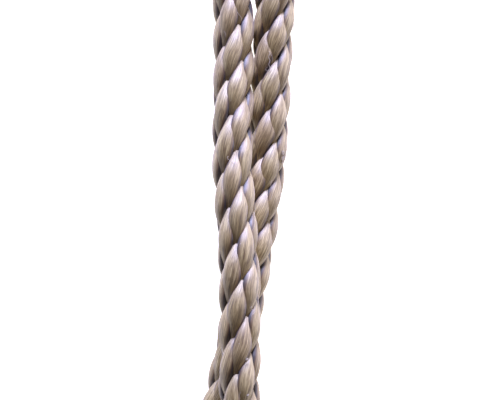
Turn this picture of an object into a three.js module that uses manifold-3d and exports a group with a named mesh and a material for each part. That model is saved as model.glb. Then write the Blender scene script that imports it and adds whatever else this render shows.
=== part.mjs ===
// A length of solid-braided rope, doubled back on itself and lying on a flat surface.
// One leg lies along the surface, the rope turns in a wide loop, and the other leg comes
// back over the first. Both cut ends are frayed open into a short, flat brush.
//
// Units are millimetres, +Z is up. The origin is under the middle of the rope, on the
// surface that it lies on; the two legs run along Y with the loop at +Y.

import * as THREE from 'three';
import { mergeVertices } from 'three/addons/utils/BufferGeometryUtils.js';
import Module from 'manifold-3d';

// ---- Driving dimensions ----------------------------------------------------------------

const ROPE_DIAMETER = 10; // across the flats of the section
const SECTION_SIDES = 12; // an even count with a flat side down, so the rope lies flat
const ROUTE_STEPS = 80;
const ROPE_COLOUR = 0x9a8b79;

const FRAY_LENGTH = 20; // how far the loosened strands reach past the end of the route
const FRAY_ROOT = 5; // how far the brush starts inside the sound rope
const FRAY_SPREAD = 18; // width of the brush at its tip
const FRAY_HEIGHT = 8;
const FRAY_ROUNDING = 1.6; // rounding of the brush's upper and lower edges
const FRAY_TUFTS = 5; // locks of strands along the ragged tip
const TUFT_DEPTH = 4; // how far the notches between locks reach back

// The rope's middle line. The first leg and the loop lie on the surface, half a diameter
// up. The second leg climbs onto the first where they come together, stays a diameter
// above it, and comes down again once it has passed over.
const ROUTE = [
  // first leg, from its cut end towards the loop
  [-17.3, -94.7, 5.0],
  [-13.0, -84.2, 5.0],
  [-9.2, -73.7, 5.0],
  [-5.6, -64.1, 5.0],
  [-2.7, -49.9, 5.0],
  [0.4, -34.1, 5.0],
  [3.5, -15.9, 5.0],
  [5.6, 0.8, 5.0],
  [6.6, 16.8, 5.0],
  [7.4, 34.3, 5.0],
  [8.2, 45.4, 5.0],
  // the loop
  [10.7, 56.3, 5.0],
  [16.5, 65.9, 5.0],
  [23.1, 75.0, 5.0],
  [26.2, 85.7, 5.0],
  [24.3, 96.7, 5.0],
  [17.6, 105.6, 5.0],
  [7.6, 110.5, 5.0],
  [-3.5, 110.5, 5.0],
  [-13.4, 105.4, 5.0],
  [-20.0, 96.4, 5.0],
  [-21.8, 85.4, 5.0],
  [-18.5, 74.8, 5.0],
  [-11.9, 65.8, 5.0],
  [-6.0, 56.3, 5.1],
  // second leg, over the first
  [-3.5, 45.4, 5.6],
  [-3.0, 32.8, 6.6],
  [-3.3, 17.8, 8.4],
  [-3.4, 4.3, 11.0],
  [-2.9, -9.7, 13.0],
  [-2.0, -23.2, 14.8],
  [-1.5, -36.7, 15.7],
  [-1.4, -50.2, 15.8],
  [-1.7, -63.7, 15.2],
  [0.0, -73.7, 12.4],
  [4.8, -83.7, 7.8],
  [10.8, -93.7, 5.5],
];

// ---- Shapes -----------------------------------------------------------------------------

// A regular polygon with a flat side at the top, bottom, left and right.
function ropeSection() {
  const apothem = ROPE_DIAMETER / 2;
  const corner = apothem / Math.cos(Math.PI / SECTION_SIDES);
  const points = [];
  for (let i = 0; i < SECTION_SIDES; i += 1) {
    const angle = ((i + 0.5) * 2 * Math.PI) / SECTION_SIDES;
    points.push(new THREE.Vector2(corner * Math.cos(angle), corner * Math.sin(angle)));
  }
  return new THREE.Shape(points);
}

// The section swept along the route. The sweep starts on the flat stretch, so a side of
// the section stays exactly downward along the first leg and the loop.
function ropeTube(route) {
  return new THREE.ExtrudeGeometry(ropeSection(), {
    steps: ROUTE_STEPS,
    extrudePath: route,
    bevelEnabled: false,
  });
}

// A flat brush of loosened strands: seen from above it widens from the rope to a ragged
// tip, and it lies on the surface. It is drawn along +Y from the end of the route.
function frayBrush(end, direction) {
  const inset = FRAY_ROUNDING;
  const rootHalf = ROPE_DIAMETER / 2 - inset;
  const tipHalf = FRAY_SPREAD / 2 - inset;
  const tipAt = FRAY_LENGTH - inset;
  const outline = new THREE.Shape();
  outline.moveTo(-rootHalf, -FRAY_ROOT);
  outline.lineTo(rootHalf, -FRAY_ROOT);
  outline.lineTo(tipHalf, tipAt - TUFT_DEPTH);
  for (let i = 0; i < FRAY_TUFTS; i += 1) {
    const right = tipHalf - (2 * tipHalf * i) / FRAY_TUFTS;
    const left = tipHalf - (2 * tipHalf * (i + 1)) / FRAY_TUFTS;
    outline.lineTo((right + left) / 2, i % 2 === 0 ? tipAt : tipAt - TUFT_DEPTH / 3);
    outline.lineTo(left, tipAt - TUFT_DEPTH);
  }
  const brush = new THREE.ExtrudeGeometry(outline, {
    depth: FRAY_HEIGHT - 2 * FRAY_ROUNDING,
    bevelThickness: FRAY_ROUNDING,
    bevelSize: FRAY_ROUNDING,
    bevelSegments: 2,
  });
  brush.translate(0, 0, FRAY_ROUNDING);
  brush.rotateZ(Math.atan2(direction.y, direction.x) - Math.PI / 2);
  brush.translate(end.x, end.y, 0);
  return brush;
}

// ---- Joining the brushes to the rope ------------------------------------------------------

const manifold = await Module();
manifold.setup();

function toSolid(geometry) {
  geometry.deleteAttribute('normal');
  geometry.deleteAttribute('uv');
  const merged = mergeVertices(geometry, 1e-4);
  return new manifold.Manifold(
    new manifold.Mesh({
      numProp: 3,
      vertProperties: new Float32Array(merged.attributes.position.array),
      triVerts: new Uint32Array(merged.index.array),
    }),
  );
}

function toGeometry(solid) {
  const mesh = solid.getMesh();
  const geometry = new THREE.BufferGeometry();
  geometry.setAttribute('position', new THREE.BufferAttribute(mesh.vertProperties, 3));
  geometry.setIndex(new THREE.BufferAttribute(mesh.triVerts, 1));
  geometry.computeVertexNormals();
  return geometry;
}

// ---- The object ---------------------------------------------------------------------------

const route = new THREE.CatmullRomCurve3(
  ROUTE.map(([x, y, z]) => new THREE.Vector3(x, y, z)),
  false,
  'centripetal',
);

const startBrush = frayBrush(route.getPointAt(0), route.getTangentAt(0).negate());
const endBrush = frayBrush(route.getPointAt(1), route.getTangentAt(1));
const ropeSolid = toSolid(ropeTube(route)).add(toSolid(startBrush)).add(toSolid(endBrush));

const rope = new THREE.Mesh(
  toGeometry(ropeSolid),
  new THREE.MeshStandardMaterial({ color: ROPE_COLOUR, roughness: 0.6, metalness: 0 }),
);
rope.name = 'rope';

const ropeLength = new THREE.Group();
ropeLength.add(rope);

export default ropeLength;
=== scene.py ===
# %% [markdown]
# # A frayed length of solid-braided rope
#
# The object is one short rope, doubled back over itself on a flat surface. It is braided from
# thirteen lustrous filament yarns. In a solid braid every yarn travels round the rope the same
# way. It lies on the outside for a while as a long, leaf-shaped float, dives under its
# neighbours, and comes up again one column further round. So the rope shows slanting columns
# of overlapping leaves, and that is what this file builds.
#
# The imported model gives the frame: a plain tube along the rope's route. Everything here is in
# metres in that frame, and the braid follows the same route.

# %% Load the frame
import math

import bpy
import numpy as np
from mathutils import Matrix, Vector


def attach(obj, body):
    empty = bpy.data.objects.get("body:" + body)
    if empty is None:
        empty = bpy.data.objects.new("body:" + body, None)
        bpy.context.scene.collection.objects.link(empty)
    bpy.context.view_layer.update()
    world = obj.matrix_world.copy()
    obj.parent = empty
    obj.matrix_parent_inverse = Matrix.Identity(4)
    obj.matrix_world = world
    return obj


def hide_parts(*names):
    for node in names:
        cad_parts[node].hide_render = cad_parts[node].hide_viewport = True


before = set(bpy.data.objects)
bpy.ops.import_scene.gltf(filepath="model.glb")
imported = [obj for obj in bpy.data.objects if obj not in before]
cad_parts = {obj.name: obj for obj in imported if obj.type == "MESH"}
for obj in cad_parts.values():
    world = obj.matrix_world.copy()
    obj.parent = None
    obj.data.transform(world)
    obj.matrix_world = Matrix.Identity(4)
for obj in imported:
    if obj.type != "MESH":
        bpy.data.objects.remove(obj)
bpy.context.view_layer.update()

MM = 0.001

# %% [markdown]
# ## The route
#
# The rope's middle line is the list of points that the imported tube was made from. A rope has
# no corners, so a centripetal Catmull-Rom curve joins them: it passes through each point and
# never loops back between two close ones. A short moving average then takes out the small
# changes of curvature that such a curve has at its points. The result is cut into even steps,
# and every yarn has one ring of points at each step.

# %% Route points, in millimetres
ROPE_DIAMETER = 10 * MM
ROUTE_MM = np.array([
    # first leg, from its cut end towards the loop
    (-17.3, -94.7, 5.0), (-13.0, -84.2, 5.0), (-9.2, -73.7, 5.0), (-5.6, -64.1, 5.0),
    (-2.7, -49.9, 5.0), (0.4, -34.1, 5.0), (3.5, -15.9, 5.0), (5.6, 0.8, 5.0),
    (6.6, 16.8, 5.0), (7.4, 34.3, 5.0), (8.2, 45.4, 5.0),
    # the loop
    (10.7, 56.3, 5.0), (16.5, 65.9, 5.0), (23.1, 75.0, 5.0), (26.2, 85.7, 5.0),
    (24.3, 96.7, 5.0), (17.6, 105.6, 5.0), (7.6, 110.5, 5.0), (-3.5, 110.5, 5.0),
    (-13.4, 105.4, 5.0), (-20.0, 96.4, 5.0), (-21.8, 85.4, 5.0), (-18.5, 74.8, 5.0),
    (-11.9, 65.8, 5.0), (-6.0, 56.3, 5.1),
    # second leg, over the first
    (-3.5, 45.4, 5.6), (-3.0, 32.8, 6.6), (-3.3, 17.8, 8.4), (-3.4, 4.3, 11.0),
    (-2.9, -9.7, 13.0), (-2.0, -23.2, 14.8), (-1.5, -36.7, 15.7), (-1.4, -50.2, 15.8),
    (-1.7, -63.7, 15.2), (0.0, -73.7, 12.4), (4.8, -83.7, 7.8), (10.8, -93.7, 5.5),
])
print("route points:", len(ROUTE_MM))


def catmull_rom(points, samples):
    """A centripetal Catmull-Rom curve, with this many samples on each stretch.

    Each stretch is the cubic between two points whose end slopes come from the neighbours,
    where the parameter grows with the square root of the distance between points.
    """
    before = 2 * points[0] - points[1]
    after = 2 * points[-1] - points[-2]
    p = np.vstack([before, points, after])
    knots = np.linalg.norm(np.diff(p, axis=0), axis=1)[:, None] ** 0.5
    p0, p1, p2, p3 = p[:-3], p[1:-2], p[2:-1], p[3:]
    k0, k1, k2 = knots[:-2], knots[1:-1], knots[2:]
    slope1 = k1 * ((p1 - p0) / k0 - (p2 - p0) / (k0 + k1) + (p2 - p1) / k1)
    slope2 = k1 * ((p2 - p1) / k1 - (p3 - p1) / (k1 + k2) + (p3 - p2) / k2)
    t = np.linspace(0, 1, samples, endpoint=False)[None, :, None]
    square = (3 * (p2 - p1) - 2 * slope1 - slope2)[:, None]
    cube = (2 * (p1 - p2) + slope1 + slope2)[:, None]
    curve = p1[:, None] + slope1[:, None] * t + square * t**2 + cube * t**3
    return np.vstack([curve.reshape(-1, 3), points[-1:]])


def even_steps(line, step):
    """The line again with its points this far apart: each coordinate is interpolated by the
    distance run along the line."""
    run = np.r_[0, np.cumsum(np.linalg.norm(np.diff(line, axis=0), axis=1))]
    at = np.linspace(0, run[-1], int(round(run[-1] / step)) + 1)
    return np.stack([np.interp(at, run, line[:, i]) for i in range(3)], axis=1)


def smoothed(line, reach):
    """Each point averaged with its neighbours under a bell curve whose width is this many
    points. Both ends stay where they are, because the line is turned over beyond them."""
    offsets = np.arange(-3 * reach, 3 * reach + 1)
    weights = np.exp(-0.5 * (offsets / reach) ** 2)
    weights /= weights.sum()
    pad = np.pad(line, ((3 * reach, 3 * reach), (0, 0)), mode="reflect", reflect_type="odd")
    return np.stack([np.convolve(pad[:, i], weights, "valid") for i in range(3)], axis=1)


# %% Smooth route in even steps
CURVE_SAMPLES = 40
FINE_STEP = 0.5 * MM
SMOOTHING_REACH = 8
RING_STEP = 0.75 * MM

route = even_steps(catmull_rom(ROUTE_MM * MM, CURVE_SAMPLES), FINE_STEP)
route = even_steps(smoothed(route, SMOOTHING_REACH), RING_STEP)
# run is the distance from the rope's first end, at each step
run = np.r_[0, np.cumsum(np.linalg.norm(np.diff(route, axis=0), axis=1))]
rope_length = run[-1]
print("rope length (mm):", round(rope_length / MM, 1), "in", len(route), "steps")

# %% [markdown]
# ## The camera
#
# The rope is seen from straight above, with the doubled legs running up the view. A long lens
# from far away keeps the view flat. Its focal length follows from similar triangles: lens to
# sensor width is as camera height to the width of the view.

# %% Camera
SENSOR_WIDTH = 36
VIEW_WIDTH = 131.6 * MM
VIEW_CENTRE = (1.2 * MM, -11.7 * MM, 10 * MM)
CAMERA_HEIGHT = 1.1

camera_data = bpy.data.cameras.new("camera")
camera_data.sensor_width = SENSOR_WIDTH
camera_data.lens = SENSOR_WIDTH * CAMERA_HEIGHT / VIEW_WIDTH
camera_data.clip_end = 10
camera = bpy.data.objects.new("camera", camera_data)
camera.location = (VIEW_CENTRE[0], VIEW_CENTRE[1], VIEW_CENTRE[2] + CAMERA_HEIGHT)
bpy.context.scene.collection.objects.link(camera)
bpy.context.scene.camera = camera
print("lens (mm):", round(camera_data.lens))

# %% [markdown]
# ## A frame that travels with the rope
#
# To wrap yarns round the rope we need, at each step, which way the rope runs, which way is up
# from it, and which way is sideways. The rope lies nearly flat, so "up" can start from +Z with
# the part along the rope taken away. An angle round the rope is then measured from the top.

# %% Directions along the route
def unit(vectors):
    """Each vector divided by its own length."""
    return vectors / np.linalg.norm(vectors, axis=-1, keepdims=True)


along = unit(np.gradient(route, axis=0))
up = unit(np.array([0.0, 0.0, 1.0]) - along * along[:, 2:3])
side = np.cross(along, up)
climb = math.degrees(math.asin(np.abs(along[:, 2]).max()))
print("steepest climb of the rope (degrees):", round(climb, 1))

# %% [markdown]
# ## The braid as arithmetic
#
# Five columns of leaves run along the rope. In one column a new leaf starts every pitch. The
# next column round is the same, shifted by three fifths of a pitch. Thirteen yarns share the
# five columns, so a yarn needs 13 / 5 = 2.6 pitches from one float to the next, which lies one
# column further round.
#
# The columns also lean a little the other way, as a drift, because the rope has some twist in
# it. The first leg is twisted tighter than the second, so its pitch is shorter and its drift
# stronger. Both change smoothly through the loop.

# %% Braid numbers
COLUMNS = 5
COLUMN_ANGLE = 2 * math.pi / COLUMNS
YARNS = 13
PITCHES_PER_CYCLE = YARNS / COLUMNS
PITCH_FIRST = 8.05 * MM
PITCH_SECOND = 9.36 * MM
DRIFT_FIRST = math.radians(-4.35) / MM
DRIFT_SECOND = math.radians(-2.03) / MM
# the loop, as shares of the rope's length
LOOP_FROM, LOOP_TO = 0.36, 0.62


def smooth_step(x):
    """0 below 0, 1 above 1, and the cubic with level ends between them."""
    x = np.clip(x, 0, 1)
    return x * x * (3 - 2 * x)


def running_sum(rate):
    """The integral of a rate along the rope, from its first end."""
    return np.r_[0, np.cumsum((rate[1:] + rate[:-1]) / 2 * np.diff(run))]


in_loop = smooth_step((run / rope_length - LOOP_FROM) / (LOOP_TO - LOOP_FROM))
pitches = running_sum((1 - in_loop) / PITCH_FIRST + in_loop / PITCH_SECOND)
drift = running_sum((1 - in_loop) * DRIFT_FIRST + in_loop * DRIFT_SECOND)
print("pitches along the rope:", round(pitches[-1], 1))

# %% [markdown]
# ## Pinning the pattern
#
# The pattern is fixed by one leaf on each leg: how far along Y its middle is, and how far
# round from the top. The first one sets where the pattern starts. Between the legs the rope
# has a free loop, so a little extra pitch and twist can go in there to meet the second one.
# Leaves' middles come every fifth of a pitch, each two columns on from the last one, so the
# five nearest are tried and the smallest change wins.

# %% Pin one leaf on each leg
# Y, and the angle from the top
FIRST_LEAF = (31.3 * MM, math.radians(16))
SECOND_LEAF = (26.5 * MM, math.radians(4))
COLUMNS_TO_NEXT_LEAF = 2


def step_at(y, part):
    """The step whose Y is nearest to this one, within a part of the route."""
    return part.start + int(np.argmin(np.abs(route[part, 1] - y)))


middle = len(route) // 2
first_at = step_at(FIRST_LEAF[0], slice(0, middle))
second_at = step_at(SECOND_LEAF[0], slice(middle, len(route)))
pitches -= pitches[first_at]
drift += FIRST_LEAF[1] - drift[first_at]
fifths = np.round(pitches[second_at] * COLUMNS) + np.arange(-2, 3)
extra_pitch = fifths / COLUMNS - pitches[second_at]
extra_angle = SECOND_LEAF[1] - drift[second_at] - COLUMN_ANGLE * COLUMNS_TO_NEXT_LEAF * fifths
extra_angle = (extra_angle + math.pi) % (2 * math.pi) - math.pi
best = int(np.argmin(np.abs(extra_pitch) + np.abs(extra_angle)))
pitches += extra_pitch[best] * in_loop
drift += extra_angle[best] * in_loop
print("extra in the loop:", round(extra_pitch[best], 2), "pitches,",
      round(math.degrees(extra_angle[best]), 1), "degrees")

# %% [markdown]
# ## One yarn
#
# A yarn is a tube with an oval section. It could be swept as a Blender curve with a bevel, but
# its section changes all along it, so its rings are worked out as arrays instead.
#
# On the outside the yarn lies spread out, and at both ends of a float it draws in to a point
# as it dives. Two waves over the float describe that. A swell, which is a half cosine with
# fuller shoulders, carries the distance from the middle of the rope and the thickness. A lens,
# which falls ever faster from the middle to the tips, carries the width.
#
# Nothing made of yarn is quite even, so each yarn's angle, height and width wander slowly by
# a few hundredths. Near both cut ends the braid has worked loose: its yarns stand a little
# away from each other and thin out, as their filaments leave them.

# %% Yarn shape
SECTION = 32
OUTER_FIRST, OUTER_SECOND = 4.05 * MM, 4.12 * MM
INNER_RADIUS = 1.2 * MM
HALF_THICK_OUT = 1.42 * MM
HALF_THICK_IN = 0.8 * MM
HALF_WIDE_FIRST, HALF_WIDE_SECOND = math.radians(38.5), math.radians(36.5)
HALF_WIDE_IN = math.radians(4)
LENS_END, LENS_POWER = 0.48, 1.75
SWELL_POWER = 0.68
# the share of a cycle that a yarn spends on the outside
FLOAT_SHARE_FIRST, FLOAT_SHARE_SECOND = 0.88, 0.82
# how far round the rope a yarn runs in a whole cycle at the leaf's slant
LEAN_FIRST, LEAN_SECOND = math.radians(150), math.radians(121)


def between_legs(first, second):
    """A value at each step that is the first leg's, then changes through the loop to the
    second leg's."""
    return first + (second - first) * in_loop


float_share = between_legs(FLOAT_SHARE_FIRST, FLOAT_SHARE_SECOND)
lean = between_legs(LEAN_FIRST, LEAN_SECOND)
outer = between_legs(OUTER_FIRST, OUTER_SECOND)
widest = between_legs(HALF_WIDE_FIRST, HALF_WIDE_SECOND)
print("rope diameter over its leaves (mm):", round(2 * (outer.max() + HALF_THICK_OUT) / MM, 1))

# %% Cut ends and unevenness
LOOSE_LENGTH = 12 * MM
LOOSENING = 0.15
THIN_LENGTH = 9 * MM
THINNING = 0.9
ANGLE_WANDER = math.radians(2.5)
RADIUS_WANDER = 0.06 * MM
WIDTH_WANDER = 0.06
# radians that each wave of the unevenness turns in one pitch
WANDER_WAVES = (0.5, 1.3, 2.9, 5.3)

random = np.random.default_rng(7)
to_end = np.minimum(run, rope_length - run)
loose = smooth_step(1 - to_end / LOOSE_LENGTH)
thinned = 1 - THINNING * smooth_step(1 - to_end / THIN_LENGTH)
print("steps that thin out at the ends:", int((thinned < 1).sum()))


def wander(size):
    """Slow unevenness along the rope: sine waves with random phases, added up and scaled so
    that their standard deviation is 0.7 of the size."""
    phases = random.uniform(0, 2 * math.pi, len(WANDER_WAVES))
    total = sum(np.sin(pitches * w + p) for w, p in zip(WANDER_WAVES, phases))
    return size * total / math.sqrt(len(WANDER_WAVES) / 2) * 0.7


# %% Rings of one yarn
def yarn_rings(number):
    """One yarn's middle angle, radius, half width (an angle), half thickness, float number
    and arch, at each step.

    A cycle runs from -0.5 to 0.5, with the middle of a float at zero. The angle grows by one
    column a cycle. Over the float it runs ahead in a straight line, which is the leaf's lean,
    and a cosine takes the lead back while the yarn is inside.

    The arch is a half cosine wave over the float. The swell is the arch to a power below one.
    The lens is one less a power of the distance from the middle of the float.
    """
    place = (pitches - number) / PITCHES_PER_CYCLE
    turn = np.floor(place + 0.5)
    cycle = place - turn
    half = float_share / 2
    lead = (lean - COLUMN_ANGLE) * half
    inside = np.clip((np.abs(cycle) - half) / (0.5 - half), 0, 1)
    swing = np.where(inside > 0, np.sign(cycle) * np.cos(inside * math.pi / 2), cycle / half)
    angle = drift + COLUMN_ANGLE * place + lead * swing
    arch = np.cos(np.clip(cycle / float_share, -0.5, 0.5) * math.pi)
    swell = np.maximum(arch, 0) ** SWELL_POWER
    radius = INNER_RADIUS + (outer - INNER_RADIUS) * swell
    thick = HALF_THICK_IN + (HALF_THICK_OUT - HALF_THICK_IN) * swell
    lens = np.clip(1 - np.abs(cycle / float_share / LENS_END) ** LENS_POWER, 0, 1)
    wide = HALF_WIDE_IN + (widest - HALF_WIDE_IN) * lens
    angle = angle + wander(ANGLE_WANDER)
    radius = radius * (1 + LOOSENING * loose) + wander(RADIUS_WANDER)
    wide = wide * (1 + wander(WIDTH_WANDER)) * thinned
    return angle, radius, wide, thick * thinned, turn, arch


# %% [markdown]
# ## The yarn's surface
#
# At each step the section is an oval bent round the rope. A filament yarn isn't smooth like a
# tube: its filaments gather into a few flat strands, which show as shallow grooves along the
# leaf. Two sine waves round the section make them, and they turn slowly along the yarn.

# %% Yarn surface
GROOVE_DEPTH = 0.05 * MM
COARSE_GROOVES, FINE_GROOVES = 6, 10
FINE_DEPTH_SHARE = 0.6
# angles round a section, from the side that faces the middle of the rope
around = np.linspace(0, 2 * math.pi, SECTION, endpoint=False) - math.pi / 2


def grooves():
    """Two sine waves round the section, whose phases wander along the rope."""
    coarse = np.sin(COARSE_GROOVES * around + wander(1.2)[:, None])
    fine = np.sin(FINE_GROOVES * around + wander(1.6)[:, None])
    return GROOVE_DEPTH * (coarse + FINE_DEPTH_SHARE * fine) * thinned[:, None]


def around_rope(turn, out):
    """Points at this angle from the top and this distance from the middle, at each step."""
    outward = np.cos(turn)[..., None] * up[:, None] + np.sin(turn)[..., None] * side[:, None]
    return route[:, None] + out[..., None] * outward


# each yarn's shape is kept, because the filaments of its frayed ends start in it
yarn_shapes = {}


def yarn_surface(number):
    """One yarn's rings of points, each point's distance from the middle of the rope, and the
    float number and arch at each step. A ring is an ellipse whose long axis is bent round the
    rope: a cosine moves a point round it, and a sine moves it outwards."""
    angle, radius, wide, thick, turn, arch = yarn_rings(number)
    yarn_shapes[number] = (angle, radius, wide, thick)
    at = angle[:, None] + wide[:, None] * np.cos(around)
    out = radius[:, None] + (thick[:, None] + grooves()) * np.sin(around)
    return around_rope(at, out), out, turn, arch


print("width of a section's step at the widest leaf (mm):",
      round(2 * HALF_WIDE_FIRST * OUTER_FIRST / (SECTION // 2) / MM, 2))

# %% [markdown]
# ## From rings to a closed mesh
#
# Rings of points become a tube: each point joins its neighbour in the ring and the same point
# in the next ring, and one extra point closes each end. The UV map says where a place is on
# its yarn: U goes once round the section, from the side that faces the middle of the rope,
# and V goes along it, one to a centimetre. The materials need both, because fibres follow the
# yarn.

# %% Tube mesh
V_UNIT = 10 * MM


def tube_faces(rings, sides):
    """Quads between rings, then triangles at both ends, for a tube whose two end points come
    after its rings; and each corner's ring and side, for the UV map."""
    ring, corner = np.meshgrid(np.arange(rings - 1), np.arange(sides), indexing="ij")
    after = (corner + 1) % sides
    a, b = ring * sides + corner, ring * sides + after
    quads = np.stack([a, a + sides, b + sides, b], axis=-1).reshape(-1, 4)
    quad_ring = np.stack([ring, ring + 1, ring + 1, ring], axis=-1)
    quad_side = np.stack([corner, corner, corner + 1, corner + 1], axis=-1)
    k = np.arange(sides)
    base = (rings - 1) * sides
    start = np.stack([np.full(sides, rings * sides), k, (k + 1) % sides], axis=-1)
    end = np.stack([np.full(sides, rings * sides + 1), base + (k + 1) % sides, base + k], axis=-1)
    cap_side = np.stack([k + 0.5, k, k + 1], axis=-1)
    cap_ring = np.repeat([0, rings - 1], 3 * sides)
    where = (np.r_[quad_ring.ravel(), cap_ring],
             np.r_[quad_side.ravel(), cap_side.ravel(), cap_side[:, [0, 2, 1]].ravel()])
    return quads, np.vstack([start, end]), where


def tubes_piece(name, tubes, lengths, values):
    """One piece from several tubes of equal size.

    tubes has the shape (tube, ring, side, 3), and lengths (tube, ring) is how far along its
    tube each ring is, in metres. values holds named numbers of the shape (tube, ring, side),
    which become attributes that a material can read.
    """
    count, rings, sides, _ = tubes.shape
    caps = tubes[:, [0, -1]].mean(axis=2)
    points = np.concatenate([tubes.reshape(count, -1, 3), caps], axis=1)
    quads, triangles, (ring_of, side_of) = tube_faces(rings, sides)
    step = np.arange(count)[:, None, None] * points.shape[1]
    faces = (quads[None] + step).reshape(-1, 4).tolist()
    faces += (triangles[None] + step).reshape(-1, 3).tolist()
    mesh = bpy.data.meshes.new(name)
    mesh.from_pydata(points.reshape(-1, 3), [], faces)
    u = np.broadcast_to(side_of / sides, (count, len(side_of)))
    v = lengths[:, ring_of] / V_UNIT
    uv = np.stack([u, v], axis=-1)
    split = quads.size
    uv = np.concatenate([uv[:, :split].reshape(-1, 2), uv[:, split:].reshape(-1, 2)])
    mesh.uv_layers.new(name="UVMap").data.foreach_set("uv", uv.ravel())
    for key, value in values.items():
        ends = value[:, [0, -1]].mean(axis=2)
        flat = np.concatenate([value.reshape(count, -1), ends], axis=1).ravel()
        mesh.attributes.new(key, "FLOAT", "POINT").data.foreach_set("value", flat)
    mesh.polygons.foreach_set("use_smooth", np.ones(len(mesh.polygons), bool))
    mesh.update()
    piece = bpy.data.objects.new(name, mesh)
    bpy.context.scene.collection.objects.link(piece)
    print(name, "has", len(quads) * count * 2 + len(triangles) * count, "triangles")
    return piece


# %% [markdown]
# ## The thirteen yarns
#
# Where the rope lies on the surface its lowest yarns flatten against it, so no point goes
# below a hair's breadth above the floor. The yarns are three pieces, so that none is too
# heavy.
#
# Three numbers go with each point, for the material. Depth is the distance from the middle of
# the rope in millimetres, rise is the arch, and tint is a number of its own for each float.
# Steps of the golden section spread the tints evenly, and a small square term keeps them from
# repeating in order.

# %% Braid
FLOOR_GAP = 0.03 * MM
YARN_TINT_STEP, FLOAT_TINT_STEP, FLOAT_TINT_SQUARE = 0.618, 0.382, 0.13


def rested(points):
    """Points below the floor gap are raised to it: soft yarn flattens where it lies."""
    points = points.copy()
    points[..., 2] = np.maximum(points[..., 2], FLOOR_GAP)
    return points


def braid(name, numbers):
    """One piece made of the yarns with these numbers."""
    surfaces = [yarn_surface(n) for n in numbers]
    tubes = rested(np.stack([points for points, _, _, _ in surfaces]))
    shape = tubes.shape[:3]
    depth = np.stack([out for _, out, _, _ in surfaces]) / MM
    turns = np.stack([turn for _, _, turn, _ in surfaces])
    yarn_tint = np.array(numbers)[:, None] * YARN_TINT_STEP
    tint = (yarn_tint + turns * FLOAT_TINT_STEP + FLOAT_TINT_SQUARE * turns**2) % 1
    rise = np.stack([rise for _, _, _, rise in surfaces])
    values = {"depth": depth, "tint": np.broadcast_to(tint[:, :, None], shape),
              "rise": np.broadcast_to(rise[:, :, None], shape)}
    return tubes_piece(name, tubes, np.broadcast_to(run, shape[:2]), values)


yarn_pieces = [braid("rope_yarns_a", range(0, 5)), braid("rope_yarns_b", range(5, 9)),
               braid("rope_yarns_c", range(9, YARNS))]

# %% [markdown]
# ## The dark inside
#
# Between the leaves one looks down onto the yarns that cross inside. Little light gets there,
# and that is where dust and grease stay. A plain inner mass, just under the bottom of the
# gaps, closes the view through the braid. Its dark brown is painted shade, with that dust.

# %% Inside of the braid
CORE_RADIUS = 3.0 * MM
core_turn = np.broadcast_to(around[::2], (len(route), SECTION // 2))
core_out = CORE_RADIUS * thinned[:, None] * np.ones_like(core_turn)
core_tube = around_rope(core_turn, core_out)[None]
core = tubes_piece("rope_inside", core_tube, run[None], {})

# %% [markdown]
# ## Fine filaments as curves
#
# A single filament is a thin tube on a path. Blender's hair curves could draw it too, but a
# finished piece here is a mesh, so the tubes are made directly. Many paths are handled
# together: an array of paths, each with the same number of points. At each point two
# directions across the path carry a small square section, which shrinks towards the tip.

# %% Filament tubes
FILAMENT_SIDES = 4
TIP_SHARE = 0.35


def filament_tubes(paths, radius):
    """Rings round each path. paths has the shape (path, point, 3) and radius (path,). The
    radius falls to its tip share along the last third of the path."""
    forward = unit(np.gradient(paths, axis=1))
    reference = np.where(np.abs(forward[..., 2:3]) > 0.9, [1.0, 0.0, 0.0], [0.0, 0.0, 1.0])
    first = unit(np.cross(forward, reference))
    second = np.cross(first, forward)
    t = np.linspace(0, 1, paths.shape[1])
    size = radius[:, None] * (1 - (1 - TIP_SHARE) * smooth_step(t * 3 - 2))
    turn = np.arange(FILAMENT_SIDES) * 2 * math.pi / FILAMENT_SIDES
    across = np.sin(turn)[:, None] * first[:, :, None] + np.cos(turn)[:, None] * second[:, :, None]
    return paths[:, :, None] + size[..., None, None] * across


def filament_piece(name, paths, radius):
    """One piece made of many filaments, each with a random tint of its own."""
    tubes = rested(filament_tubes(paths, radius))
    steps = np.linalg.norm(np.diff(paths, axis=1), axis=2)
    lengths = np.concatenate([np.zeros((len(paths), 1)), np.cumsum(steps, axis=1)], axis=1)
    tint = random.uniform(0, 1, len(paths))
    values = {"tint": np.broadcast_to(tint[:, None, None], tubes.shape[:3])}
    return tubes_piece(name, tubes, lengths, values)


# %% [markdown]
# ## The frayed ends
#
# At a cut end nothing holds the braid, so each yarn opens into its filaments. They start in
# the sound part of their own yarn and follow its winding to the end of the rope, while the
# solid yarn between them thins out. Then they are free: they spread sideways and sink to the
# surface. Filaments keep the wave that the braid pressed into them, and those of one yarn
# share it, so the brush falls into locks.
#
# A real yarn of this size has hundreds of filaments of about 0.02 mm. They are drawn about
# ten times as thick and fewer, so that they show and the mesh stays light.

# %% Numbers of the frayed ends
FILAMENTS_PER_YARN = 60
FILAMENT_RADIUS = 0.11 * MM
FILAMENT_RADIUS_SHARES = (0.6, 1.15)
FRAY_ROOT = 9 * MM
HELD_STRIDE = 2
FRAY_REACH = 19 * MM
YARN_REACH_SHARES = (0.75, 1)
SINGLE_REACH_SHARES = (0.6, 1.0)
FREE_POINTS = 15
# the distance over which a yarn's winding fades
UNWINDING = 3.5 * MM
WAVE_LENGTH = 8.5 * MM
WAVE_HEIGHTS_MM = (0.2, 0.7)
# radians by which one filament's wave differs from its yarn's
WAVE_SCATTER = 0.35
# how far a lock spreads for each unit that its yarn lies off the rope's middle line
FAN = 1.2
FAN_POWER = 1.7
LOCK_SCATTER = 1.5 * MM
SINGLE_SCATTER = 0.9 * MM
PILE_HEIGHT_MM = 3.2
LOWEST = FILAMENT_RADIUS + FLOOR_GAP
print("filaments at each end:", YARNS * FILAMENTS_PER_YARN)


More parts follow.
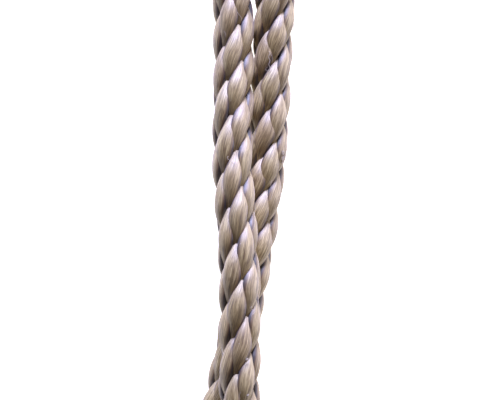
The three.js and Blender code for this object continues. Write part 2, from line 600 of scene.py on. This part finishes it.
# %% Filaments inside the braid
def held_part(end, inward, across_yarn, through_yarn):
    """The filaments' paths inside the braid, from the root to the end of the rope. The two
    numbers of a filament say where it lies in its yarn's oval section, from -1 to 1."""
    steps = end + inward * np.arange(int(FRAY_ROOT / RING_STEP), -1, -HELD_STRIDE)
    angle, radius, wide, thick = (
        np.array([yarn_shapes[n][i][steps] for n in range(YARNS)])[:, None] for i in range(4))
    full = 1 / thinned[steps]
    turn = angle + wide * full * across_yarn[..., None]
    out = radius + thick * full * through_yarn[..., None]
    outward = np.cos(turn)[..., None] * up[steps] + np.sin(turn)[..., None] * side[steps]
    return route[steps] + out[..., None] * outward


# %% Filaments beyond the end
def free_part(held, end, inward):
    """The filaments' paths beyond the end of the rope.

    Seen from above, a point is forward of its filament's last held point by the distance run,
    plus what is left of the winding, which fades exponentially, plus a spread to the side that
    grows with a power of t, plus a sine wave. The height eases with a smooth step from the
    held point's to where the filament rests, plus a cosine of the same wave.
    """
    shape = held.shape[:2]
    forward = unit(-inward * along[end] * [1, 1, 0])
    across = np.cross(forward, [0, 0, 1])
    last = held[:, :, -1:]
    slope = (held[:, :, -1:] - held[:, :, -2:-1]) / (HELD_STRIDE * RING_STEP)
    winding = slope - forward * (slope @ forward)[..., None]

    t = np.linspace(0, 1, FREE_POINTS)[1:]
    yarn_reach = random.uniform(*YARN_REACH_SHARES, (YARNS, 1))
    reach = FRAY_REACH * random.uniform(*SINGLE_REACH_SHARES, shape) * yarn_reach
    distance = reach[..., None] * t
    fading = UNWINDING * (1 - np.exp(-distance / UNWINDING))
    free = last + forward * distance[..., None] + winding * fading[..., None]

    from_middle = ((last - route[end]) @ across).mean(axis=1, keepdims=True)
    lock = random.normal(0, LOCK_SCATTER, (YARNS, 1, 1)) + from_middle * FAN
    single = random.normal(0, SINGLE_SCATTER, shape)[..., None]
    phase = distance * 2 * math.pi / WAVE_LENGTH + random.uniform(0, 2 * math.pi, (YARNS, 1, 1))
    phase = phase + random.normal(0, WAVE_SCATTER, shape)[..., None]
    wave = smooth_step(t * 2.5) * random.uniform(*WAVE_HEIGHTS_MM, shape)[..., None] * MM
    sideways = (lock + single) * t**FAN_POWER + np.sin(phase) * wave
    free = free + across * sideways[..., None]

    rest = LOWEST + random.uniform(0, 1, shape)[..., None] ** 2 * PILE_HEIGHT_MM * MM
    down = smooth_step(t / 0.85)
    height = free[..., 2] * (1 - down) + rest * down + 0.6 * np.cos(phase) * wave * (1 - down / 2)
    free[..., 2] = np.maximum(height, LOWEST)
    return free


# %% Frayed ends
def fray(name, end, inward):
    """The filaments of all thirteen yarns at one end. end is the step at the end of the rope,
    and inward is the direction of steps that leads back into it. In its yarn's section a
    filament has a random direction and the square root of a random number as its distance
    from the middle, which covers the oval evenly."""
    shape = (YARNS, FILAMENTS_PER_YARN)
    place = random.uniform(0, 2 * math.pi, shape)
    spread = np.sqrt(random.uniform(0.05, 1, shape))
    held = held_part(end, inward, spread * np.cos(place), 0.9 * spread * np.sin(place))
    paths = np.concatenate([held, free_part(held, end, inward)], axis=2)
    count = YARNS * FILAMENTS_PER_YARN
    thin = FILAMENT_RADIUS * random.uniform(*FILAMENT_RADIUS_SHARES, count)
    return filament_piece(name, paths.reshape(count, -1, 3), thin)


fray_pieces = [fray("fray_first_end", 0, 1), fray("fray_second_end", len(route) - 1, -1)]

# %% [markdown]
# ## Loose filaments along the rope
#
# Handling pulls single filaments out of the leaves. Most lie close to the surface as short
# arcs. Each starts at a random place on the rope, runs mostly along it, and rises and comes
# back as half a sine wave.

# %% Loose filaments
LOOSE_COUNT = 45
LOOSE_POINTS = 14
LOOSE_REACH_MM = (2, 6)
LOOSE_HEIGHT_MM = (0, 0.4)
LOOSE_RADIUS_MM = (0.03, 0.05)
# no loose filament starts further round from the top than this, where it would be out of sight
LOOSE_FURTHEST = 2.2
SURFACE_RADIUS = ROPE_DIAMETER / 2


def surface_path(at_run, turn, height):
    """Points on the rope by distance along it, angle round it and height above its surface."""
    centre = np.stack([np.interp(at_run, run, route[:, i]) for i in range(3)], axis=-1)
    up_here = unit(np.stack([np.interp(at_run, run, up[:, i]) for i in range(3)], axis=-1))
    side_here = unit(np.stack([np.interp(at_run, run, side[:, i]) for i in range(3)], axis=-1))
    outward = np.cos(turn)[..., None] * up_here + np.sin(turn)[..., None] * side_here
    return centre + (SURFACE_RADIUS + height)[..., None] * outward


def loose_filaments():
    """Arcs of 2 to 6 mm: a straight run along the rope with a slow wave round it, while the
    height is half a sine wave of up to 0.4 mm."""
    count = (LOOSE_COUNT, 1)
    t = np.linspace(0, 1, LOOSE_POINTS)
    reach = random.uniform(*LOOSE_REACH_MM, count) * MM
    begin = random.uniform(0.02, 0.97, count) * (rope_length - reach)
    turn = random.uniform(-LOOSE_FURTHEST, LOOSE_FURTHEST, count)
    turn = turn + random.normal(0, 0.25, count) * t
    turn = turn + random.uniform(0.04, 0.12, count) * np.sin(t * random.uniform(4, 10, count))
    height = np.sin(t * math.pi) * random.uniform(*LOOSE_HEIGHT_MM, count) * MM
    paths = surface_path(begin + reach * t, turn, height)
    radius = random.uniform(*LOOSE_RADIUS_MM, LOOSE_COUNT) * MM
    return filament_piece("loose_filaments", paths, radius)


fluff_pieces = [loose_filaments()]

# %% [markdown]
# ## A pulled filament, a tuft of fluff and lint
#
# Three kinds of small damage show on the legs. A broken filament lies along the first leg and
# ends in a hook. A tuft of fluff sits on its outer side. Specks of lint stick to the second
# leg. A curl of fibre is a path in the surface's own coordinates: along the rope and round it
# it follows two sine waves of different speeds, and its height follows a third.

# %% Curls of fibre
CURL_POINTS = 28
CURLS_EACH = 4
# radians that a curl's waves turn from one end to the other
CURL_TURNS = (5, 13)
CURL_WIDTH_SHARES = (0.35, 1)


def curls(at_run, turn, size, thickness):
    """Paths of tangled curls, each up to this size across, round one place on the rope."""
    t = np.linspace(0, 1, CURL_POINTS)
    speed = random.uniform(*CURL_TURNS, (3, CURLS_EACH, 1))
    start = random.uniform(0, 2 * math.pi, (3, CURLS_EACH, 1))
    wide = random.uniform(*CURL_WIDTH_SHARES, (3, CURLS_EACH, 1)) * size / 2
    lengthways, sideways, height = wide * np.sin(t * speed + start)
    paths = surface_path(at_run + lengthways, turn + sideways / SURFACE_RADIUS,
                         0.25 * MM + 0.5 * np.abs(height))
    return paths, np.full(CURLS_EACH, thickness)


def curls_at(places, leg, size, thickness):
    """Curls at each of several places on a leg: Y in millimetres, and degrees from the top."""
    return [curls(run[step_at(y * MM, leg)], math.radians(angle), size, thickness)
            for y, angle in places]


# %% Pulled filament
PULLED_POINTS = 60
PULLED_LENGTH = 4.6 * MM
PULLED_RADIUS = 0.07 * MM
HOOK_SHARE = 0.2
HOOK_RADIUS = 0.45 * MM
HOOK_ANGLE = 1.5 * math.pi


def pulled_filament(at_run, turn):
    """One filament that wavers back along the rope as a slow sine wave, and ends in three
    quarters of a circle."""
    t = np.linspace(0, 1, PULLED_POINTS)[None]
    straight = 1 - HOOK_SHARE
    hook = np.clip((t - straight) / HOOK_SHARE, 0, 1) * HOOK_ANGLE
    lengthways = -PULLED_LENGTH * np.minimum(t / straight, 1) - HOOK_RADIUS * np.sin(hook)
    waver = 0.16 * MM * np.sin(19 * t) + 0.3 * MM * t
    sideways = waver - HOOK_RADIUS * (1 - np.cos(hook))
    height = 0.2 * MM + 0.05 * MM * np.sin(11 * t)
    return surface_path(at_run + lengthways, turn + sideways / SURFACE_RADIUS, height)


# %% Fluff on the legs
PULLED_PLACE = (27.5, -9)
TUFT = ((1.3, 54), (0.5, 60), (-0.4, 55), (-1.2, 59))
TUFT_SIZE, TUFT_RADIUS = 1.3 * MM, 0.035 * MM
LINT = ((-49.1, 0), (-52.8, -21), (-62.2, -25))
LINT_SIZE, LINT_RADIUS = 0.7 * MM, 0.045 * MM

first_leg, second_leg = slice(0, middle), slice(middle, len(route))
pulled_run = run[step_at(PULLED_PLACE[0] * MM, first_leg)]
pulled = pulled_filament(pulled_run, math.radians(PULLED_PLACE[1]))
tuft = curls_at(TUFT, first_leg, TUFT_SIZE, TUFT_RADIUS)
lint = curls_at(LINT, second_leg, LINT_SIZE, LINT_RADIUS)
curl_paths, curl_radii = zip(*tuft, *lint)
fluff_pieces.append(filament_piece("pulled_filament", pulled, np.array([PULLED_RADIUS])))
fluff_pieces.append(
    filament_piece("fluff", np.concatenate(curl_paths), np.concatenate(curl_radii)))

# %% [markdown]
# ## Node helpers
#
# Materials are small node trees. One function adds a node, sets its properties, and fills or
# links its inputs, so a tree reads as a list of steps. Colours are written as sRGB hex codes,
# as a paint program shows them, and one function turns them into the linear numbers that
# shaders calculate with.

# %% Colour and node helpers
def linear(code):
    """An sRGB hex colour as the linear values that shaders use."""
    values = [int(code[i:i + 2], 16) / 255 for i in (1, 3, 5)]
    light = [v / 12.92 if v <= 0.04045 else ((v + 0.055) / 1.055) ** 2.4 for v in values]
    return (*light, 1)


def add(tree, kind, settings=None, inputs=None):
    """Adds a node, sets its properties, and sets or links its inputs by name or number."""
    node = tree.nodes.new(kind)
    for key, value in (settings or {}).items():
        setattr(node, key, value)
    for key, value in (inputs or {}).items():
        if isinstance(value, bpy.types.NodeSocket):
            tree.links.new(value, node.inputs[key])
        else:
            node.inputs[key].default_value = value
    return node


def new_material(name):
    """An empty material and its node tree."""
    material = bpy.data.materials.new(name)
    material.use_nodes = True
    material.node_tree.nodes.clear()
    return material, material.node_tree


def ramp(tree, value, stops):
    """A colour ramp from (position, hex colour) pairs."""
    node = add(tree, "ShaderNodeValToRGB", inputs={"Fac": value})
    elements = node.color_ramp.elements
    while len(elements) < len(stops):
        elements.new(0.5)
    for element, (position, code) in zip(elements, stops):
        element.position = position
        element.color = linear(code)
    return node.outputs["Color"]


def finish_material(material, tree, shader):
    """Links the shader to the output and says how many nodes the material has."""
    add(tree, "ShaderNodeOutputMaterial", inputs={"Surface": shader.outputs[0]})
    print(material.name, "has", len(tree.nodes), "nodes")
    return material


# %% [markdown]
# ## Filament yarn
#
# The yarn is flat multifilament polyester, spun in a matt tan shade. Hundreds of straight,
# smooth filaments lie side by side, so light streaks along them. Across the filaments a
# highlight is wide, and along them it is short: the shine of satin. The shader's anisotropy
# makes that, with its tangent taken from U, which runs across the yarn.
#
# The streaks are noise stretched along V. A real filament is about 0.02 mm thick, too fine to
# draw, so the noise shows the bunches that filaments gather into, 0.2 to 0.4 mm wide: a yarn
# is about 13 mm round, so 60 of them go round it. A second noise paints into the colour the
# short flecks where single filaments catch the light, drawn about 0.1 mm wide: painted glints.

# %% Fibre colour
BUNCHES_ROUND_YARN, BUNCHES_PER_CM = 60, 1.4
FLECKS_ROUND_YARN, FLECKS_PER_CM = 150, 5
# moves the noise on from float to float, so that no two floats are alike
FLOAT_STEP = 31


def noise(tree, vector, scale, detail, roughness=0.6):
    """Noise on a vector that is first stretched by a scale for each axis."""
    stretched = add(tree, "ShaderNodeMapping", inputs={"Vector": vector, "Scale": scale})
    return add(tree, "ShaderNodeTexNoise", inputs={
        "Vector": stretched.outputs[0], "Scale": 1.0,
        "Detail": detail, "Roughness": roughness}).outputs[0]


def multiply(tree, first, second):
    """One colour times another."""
    return add(tree, "ShaderNodeMix", {"data_type": "RGBA", "blend_type": "MULTIPLY"},
               {0: 1.0, 6: first, 7: second}).outputs[2]


def attribute(tree, name):
    """One of the numbers that the mesh carries at each point."""
    return add(tree, "ShaderNodeAttribute", {"attribute_name": name}).outputs["Fac"]


def yarn_place(tree):
    """U across the yarn, V along it, and a third number that differs from float to float."""
    uv = add(tree, "ShaderNodeUVMap", {"uv_map": "UVMap"}).outputs["UV"]
    parts = add(tree, "ShaderNodeSeparateXYZ", inputs={0: uv})
    place = add(tree, "ShaderNodeCombineXYZ", inputs={
        "X": parts.outputs["X"], "Y": parts.outputs["Y"], "Z": attribute(tree, "tint")})
    return parts.outputs["X"], place.outputs[0]


def fibre_colour(tree, place):
    """Tan with lighter and darker bunches, short painted glints of single filaments, and a slight
    tint of its own for each float."""
    bunches = noise(tree, place, (BUNCHES_ROUND_YARN, BUNCHES_PER_CM, FLOAT_STEP), 3.0, 0.65)
    fibre = ramp(tree, bunches, [(0.33, "#776237"), (0.48, "#b19b65"), (0.65, "#dfce96")])
    # painted glints: flecks of the colour where single filaments catch the light
    flecks = noise(tree, place, (FLECKS_ROUND_YARN, FLECKS_PER_CM, FLOAT_STEP), 1.0)
    painted_glints = ramp(tree, flecks, [(0.33, "#b9a996"), (0.5, "#ffffff")])
    tint = ramp(tree, attribute(tree, "tint"),
                [(0.0, "#f8f4ec"), (0.5, "#ffffff"), (1.0, "#f6f0f2")])
    return multiply(tree, multiply(tree, fibre, painted_glints), tint)


# %% [markdown]
# ## The braided yarn's surface
#
# Handling leaves dust and grease in the grooves between the leaves, and shade falls there too,
# so both are painted into the colour. There the surface is near the middle of the rope, and U is
# far from the crown of the yarn: depth darkens the colour as painted shade and dust, and the
# distance from the crown darkens it as painted shade.
#
# Two bumps act on the shading. Noise gives the ridges of the bunches. The other comes from the
# rise: at both ends of a float the filaments dive between their neighbours more steeply than
# the swept tube does, and this slope adds that. It makes the end of a leaf that faces the
# light bright, and the other end dark, on top of the tube's own shape.
#
# Polyester has an IOR of about 1.6. The many filaments of a flat yarn send back more light
# than one smooth surface would, so the number here is higher. A little sheen stands for the
# fuzz of broken ends.

# %% Braided yarn
# depths in millimetres: painted shade and dust are full at the darkest one and gone at the other
UNDARKENED_RADIUS_MM, DARKEST_RADIUS_MM = 4.3, 2.6
RIDGES_ROUND_YARN, RIDGES_PER_CM = 110, 4
RIDGE_HEIGHT = 0.1 * MM
LEAF_SLOPE = 1.4 * MM
YARN_CROWN_U = 0.5


def braided_yarn():
    """Satin yarn whose colour is multiplied by painted shade and dust, which follow depth, and by
    painted shade, which follows the distance in U from the crown."""
    material, tree = new_material("satin polyester filament yarn")
    u, place = yarn_place(tree)
    height = add(tree, "ShaderNodeMapRange", inputs={
        "Value": attribute(tree, "depth"),
        "From Min": DARKEST_RADIUS_MM, "From Max": UNDARKENED_RADIUS_MM})
    # painted shade with dust: the yarn darkens where it lies deep in the braid
    dust_and_shade = ramp(tree, height.outputs[0], [(0.0, "#402a17"), (0.45, "#b39d83"), (0.8, "#ffffff")])
    from_crown = add(tree, "ShaderNodeMath", {"operation": "SUBTRACT"}, {0: u, 1: YARN_CROWN_U})
    edge = add(tree, "ShaderNodeMath", {"operation": "ABSOLUTE"}, {0: from_crown.outputs[0]})
    # painted shade: the yarn's sides go dark where they turn down between the leaves
    crevice_shade = ramp(tree, edge.outputs[0],
                 [(0.105, "#ffffff"), (0.155, "#a38869"), (0.19, "#331d0a")])
    colour = multiply(tree, fibre_colour(tree, place), multiply(tree, dust_and_shade, crevice_shade))
    slope = add(tree, "ShaderNodeBump", inputs={
        "Height": attribute(tree, "rise"), "Strength": 1.0, "Distance": LEAF_SLOPE})
    ridges = noise(tree, place, (RIDGES_ROUND_YARN, RIDGES_PER_CM, FLOAT_STEP), 2.0)
    bump = add(tree, "ShaderNodeBump", inputs={
        "Height": ridges, "Strength": 0.8, "Distance": RIDGE_HEIGHT, "Normal": slope.outputs[0]})
    tangent = add(tree, "ShaderNodeTangent", {"direction_type": "UV_MAP", "uv_map": "UVMap"})
    shader = add(tree, "ShaderNodeBsdfPrincipled", inputs={
        "Base Color": colour, "Roughness": 0.58, "IOR": 1.85, "Specular IOR Level": 1.0,
        "Anisotropic": 0.5, "Tangent": tangent.outputs[0], "Normal": bump.outputs[0],
        "Sheen Weight": 0.25, "Sheen Roughness": 0.4, "Sheen Tint": linear("#e6def2")})
    return finish_material(material, tree, shader)


yarn_material = braided_yarn()
rope = yarn_pieces[0]
for piece in yarn_pieces:
    piece.data.materials.append(yarn_material)

# %% [markdown]
# ## The loose filaments' surface
#
# A filament on its own lets light through, so it looks paler than the same fibre in a packed
# yarn: that paleness is painted light. It lies outside the braid's grooves, so it has no dust
# and no painted shade. So these take the fibre's colour without them, mixed with a paler one:
# warm at the cut ends, and nearly white for broken filaments and lint.

# %% Loose filaments' material
def loose_yarn(name, paleness, pale_code):
    """The fibre's own colour, mixed with this much of a paler one, which is painted light."""
    material, tree = new_material(name)
    _, place = yarn_place(tree)
    # painted light: the paler mix stands for light passing through a lone filament
    pale = add(tree, "ShaderNodeMix", {"data_type": "RGBA", "blend_type": "MIX"},
               {0: paleness, 6: fibre_colour(tree, place), 7: linear(pale_code)}).outputs[2]
    shader = add(tree, "ShaderNodeBsdfPrincipled", inputs={
        "Base Color": pale, "Roughness": 0.45, "IOR": 1.6, "Specular IOR Level": 0.6})
    return finish_material(material, tree, shader)


for pieces, material in (
        (fray_pieces, loose_yarn("loose polyester filaments", 0.45, "#f3dfb6")),
        (fluff_pieces, loose_yarn("pale broken filaments", 0.55, "#ece6e2"))):
    for piece in pieces:
        piece.data.materials.append(material)
other_pieces = yarn_pieces[1:] + fray_pieces + fluff_pieces


# %% Inner yarn
INNER_BUNCHES_ROUND, INNER_BUNCHES_PER_CM = 40, 3


def inner_yarn():
    """Dark brown yarn, painted in shade and dust, matt, with faint bunches along it."""
    material, tree = new_material("yarn inside the braid in painted shade and dust")
    uv = add(tree, "ShaderNodeUVMap", {"uv_map": "UVMap"}).outputs["UV"]
    grain = noise(tree, uv, (INNER_BUNCHES_ROUND, INNER_BUNCHES_PER_CM, 1), 2.0, 0.5)
    # painted shade: dark brown stands for the little light that reaches the inside, with its dust
    colour = ramp(tree, grain, [(0.3, "#24170e"), (0.7, "#4a3626")])
    shader = add(tree, "ShaderNodeBsdfPrincipled", inputs={"Base Color": colour, "Roughness": 0.8})
    return finish_material(material, tree, shader)


core.data.materials.append(inner_yarn())
other_pieces.append(core)

# %% [markdown]
# ## Floor and light
#
# The rope lies on a white light table. The table glows a little, which keeps shadows off it
# and lets pale light wrap round the rope's sides.
#
# One large soft lamp beyond the loop shines down along the legs. So the upper end of each
# leaf, which faces the lamp, is nearly white, and the lower end, which dives away from it, is
# dark brown. Its light is a little violet, which is why the bright tips are lavender. A wide,
# weak lamp on the right lights the right-hand sides. A faint warm surround fills the rest.

# %% Floor
FLOOR_SIZE = 6
TABLE_GLOW = 0.95


def light_table():
    """White translucent plastic, lit from below: a matt white that also gives off light."""
    material, tree = new_material("white light table")
    shader = add(tree, "ShaderNodeBsdfPrincipled", inputs={
        "Base Color": linear("#f6f5f4"), "Roughness": 0.9,
        "Emission Color": linear("#ffffff"), "Emission Strength": TABLE_GLOW})
    return finish_material(material, tree, shader)


bpy.ops.mesh.primitive_plane_add(size=FLOOR_SIZE)
floor = bpy.context.object
floor.name = "floor"
floor.data.materials.append(light_table())

# %% Lamps
LAMP_DISTANCE = 1.6


def area_light(name, azimuth, elevation, size, power, code):
    """A square lamp at an azimuth (0 is +Y, positive towards +X) and elevation in degrees,
    aimed at the object's middle."""
    data = bpy.data.lights.new(name, "AREA")
    data.size = size
    data.energy = power
    data.color = linear(code)[:3]
    light = bpy.data.objects.new(name, data)
    turn, rise = math.radians(azimuth), math.radians(elevation)
    place = Vector((math.sin(turn) * math.cos(rise), math.cos(turn) * math.cos(rise),
                    math.sin(rise)))
    light.location = place * LAMP_DISTANCE
    light.rotation_euler = (-place).to_track_quat("-Z", "Y").to_euler()
    bpy.context.scene.collection.objects.link(light)
    print(name, "lamp:", power, "W at", azimuth, "and", elevation, "degrees")


area_light("key", 0, 24.5, 0.5, 64, "#ced0ff")
area_light("right", 80, 16, 0.8, 10, "#f2e8fa")

# %% Surround
world = bpy.data.worlds.new("studio")
world.use_nodes = True
surround = world.node_tree.nodes["Background"]
surround.inputs["Color"].default_value = linear("#ffdfc0")
surround.inputs["Strength"].default_value = 0.06
bpy.context.scene.world = world
bpy.context.scene.view_settings.view_transform = "Standard"
print("surround strength:", round(surround.inputs["Strength"].default_value, 2))

# %% [markdown]
# ## Declare and finish
#
# The rope is a free cord: its first yarn piece and every other piece ride on one root body,
# and the imported plain tube is hidden.

for piece in (rope, *other_pieces):
    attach(piece, "root")
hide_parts("rope")
print("declared pieces:", 1 + len(other_pieces))
